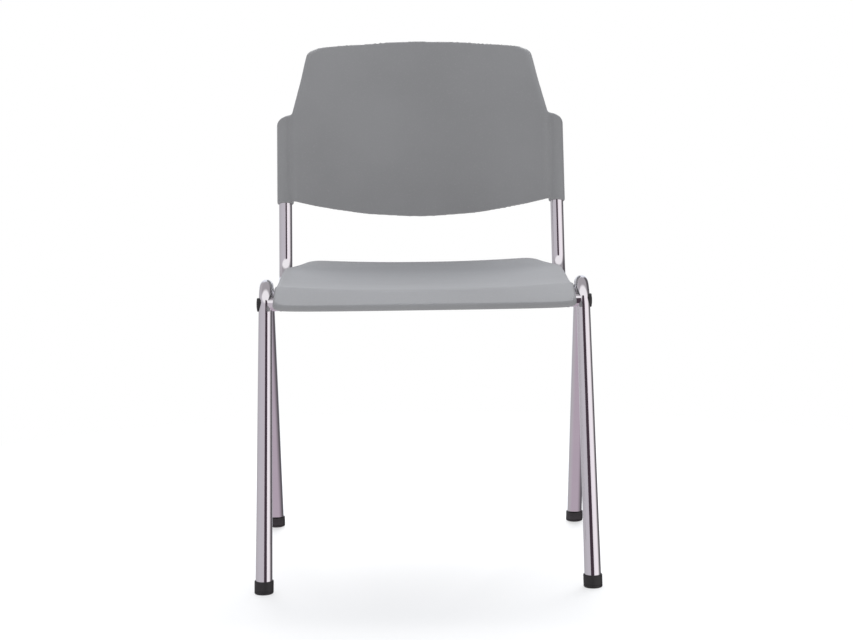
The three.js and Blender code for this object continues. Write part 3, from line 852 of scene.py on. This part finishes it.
def floor():
    """Pale and matt round the chair, and lost in the white of the studio further out."""
    material, nodes, links, shader = new_material("pale_floor")
    mottle = noise(nodes, links, 1.5, 3)
    colour = blended(nodes, links, mottle, (0.93, 0.93, 0.93), (0.95, 0.95, 0.95))
    links.new(colour, shader.inputs["Base Color"])
    shader.inputs["Roughness"].default_value = 0.9
    shader.inputs["Specular IOR Level"].default_value = 0.1
    place = nodes.new("ShaderNodeTexCoord")
    radius = nodes.new("ShaderNodeVectorMath")
    radius.operation = "LENGTH"
    links.new(place.outputs["Object"], radius.inputs[0])
    white = nodes.new("ShaderNodeEmission")
    fade = nodes.new("ShaderNodeMixShader")
    links.new(ranged(nodes, links, radius.outputs["Value"], 0.4, 1.4, 0.6, 1), fade.inputs[0])
    links.new(shader.outputs[0], fade.inputs[1])
    links.new(white.outputs[0], fade.inputs[2])
    links.new(fade.outputs[0], nodes["Material Output"].inputs["Surface"])
    r = FLOOR_REACH
    obj = sheet("floor", [(-r, -r, 0), (r, -r, 0), (r, r, 0), (-r, r, 0)], material)
    obj.visible_glossy = False


def flag():
    """A dark panel in front of the chair that only the shiny pieces reflect."""
    material, nodes, links, shader = new_material("dark_flag")
    shader.inputs["Base Color"].default_value = (0, 0, 0, 1)
    shader.inputs["Specular IOR Level"].default_value = 0
    shader.inputs["Emission Strength"].default_value = 1
    shade = blended(nodes, links, noise(nodes, links, 2), (0.050, 0.032, 0.046), (0.072, 0.052, 0.066))
    links.new(shade, shader.inputs["Emission Color"])
    low, high = FLAG_Z
    left, right = FLAG_X
    corners = [(left, FLAG_Y, low), (right, FLAG_Y, low), (right, FLAG_Y, high), (left, FLAG_Y, high)]
    obj = sheet("dark_flag", corners, material)
    obj.visible_camera = obj.visible_diffuse = obj.visible_shadow = obj.visible_transmission = False


def studio():
    """A soft white studio, brighter overhead. Shiny pieces reflect its walls, window and ceiling."""
    world = bpy.data.worlds.new("studio")
    bpy.context.scene.world = world
    world.use_nodes = True
    nodes, links = world.node_tree.nodes, world.node_tree.links
    nodes.clear()
    place = nodes.new("ShaderNodeTexCoord")
    split = nodes.new("ShaderNodeSeparateXYZ")
    links.new(place.outputs["Generated"], split.inputs[0])
    behind = nodes.new("ShaderNodeMath")
    behind.operation = "MULTIPLY"
    behind.inputs[1].default_value = -1
    links.new(split.outputs["Y"], behind.inputs[0])
    angle = nodes.new("ShaderNodeMath")
    angle.operation = "ARCTAN2"
    links.new(split.outputs["X"], angle.inputs[0])
    links.new(behind.outputs[0], angle.inputs[1])
    turn = ranged(nodes, links, angle.outputs[0], -math.pi, math.pi, 0, 1)
    walls = nodes.new("ShaderNodeValToRGB")
    ramp = walls.color_ramp
    ramp.elements.remove(ramp.elements[0])
    for i, (degrees, colour) in enumerate(WALLS):
        at = (degrees + 180) / 360
        stop = ramp.elements[0] if i == 0 else ramp.elements.new(at)
        stop.position, stop.color = at, (*colour, 1)
    links.new(turn, walls.inputs["Fac"])
    front = ranged(nodes, links, split.outputs["Y"], -0.12, 0.12, 1, 0)
    ceiling = blended(nodes, links, front, (0.42, 0.40, 0.42), (1.0, 0.98, 1.0))
    high = ranged(nodes, links, split.outputs["Z"], 0.52, 0.66, 0, 1)
    reflected = blended(nodes, links, high, walls.outputs["Color"], ceiling)
    low = ranged(nodes, links, split.outputs["Z"], -0.9, -0.5, 1, 0)
    reflected = blended(nodes, links, low, reflected, (0.50, 0.42, 0.49))
    tilt = nodes.new("ShaderNodeVectorMath")
    tilt.operation = "DOT_PRODUCT"
    tilt.inputs[1].default_value = (0, 0.42, 0.91)
    links.new(place.outputs["Generated"], tilt.inputs[0])
    rise = ranged(nodes, links, tilt.outputs["Value"], 0.0, 1.0, 0, 1)
    walls_light = blended(nodes, links, ranged(nodes, links, split.outputs["Y"], -0.6, 0.4, 0, 1),
                          (0.385, 0.38, 0.38), (0.56, 0.565, 0.58))
    lighting = blended(nodes, links, rise, walls_light, (0.98, 1.03, 1.12))
    path = nodes.new("ShaderNodeLightPath")
    seen = blended(nodes, links, path.outputs["Is Glossy Ray"], lighting, reflected)
    seen = blended(nodes, links, path.outputs["Is Camera Ray"], seen, (1.0, 1.0, 1.0))
    back = nodes.new("ShaderNodeBackground")
    out = nodes.new("ShaderNodeOutputWorld")
    links.new(seen, back.inputs["Color"])
    links.new(back.outputs[0], out.inputs["Surface"])


def softbox(name, at, aim, size, power):
    lamp = bpy.data.lights.new(name, "AREA")
    lamp.shape, lamp.size, lamp.size_y, lamp.energy = "RECTANGLE", size[0], size[1], power
    obj = bpy.data.objects.new(name, lamp)
    obj.location = at
    obj.rotation_mode = "QUATERNION"
    obj.rotation_quaternion = (Vector(aim) - Vector(at)).to_track_quat("-Z", "Y")
    obj.visible_camera = obj.visible_glossy = False
    bpy.context.scene.collection.objects.link(obj)


def camera():
    data = bpy.data.cameras.new("camera")
    data.sensor_width, data.lens, data.shift_x = 36, CAMERA_LENS, CAMERA_SHIFT
    obj = bpy.data.objects.new("camera", data)
    flat = math.cos(CAMERA_PITCH)
    ahead = Vector((math.sin(CAMERA_YAW) * flat, math.cos(CAMERA_YAW) * flat, math.sin(CAMERA_PITCH)))
    level = Vector((math.cos(CAMERA_YAW), -math.sin(CAMERA_YAW), 0))
    up = level.cross(ahead)
    c, s = math.cos(CAMERA_ROLL), math.sin(CAMERA_ROLL)
    across, upward = level * c - up * s, level * s + up * c
    obj.matrix_world = Matrix.Translation(CAMERA_AT) @ Matrix((across, upward, -ahead)).transposed().to_4x4()
    bpy.context.scene.collection.objects.link(obj)
    bpy.context.scene.camera = obj


floor()
flag()
studio()
softbox("overhead", (0.2, 1.3, 2.5), (0, 0, 0.4), (2.4, 1.6), 88)
softbox("front_fill", (-0.4, -3.2, 0.3), (0, 0, 0.5), (2.6, 0.6), 38)
camera()
bpy.context.scene.view_settings.view_transform = "Standard"
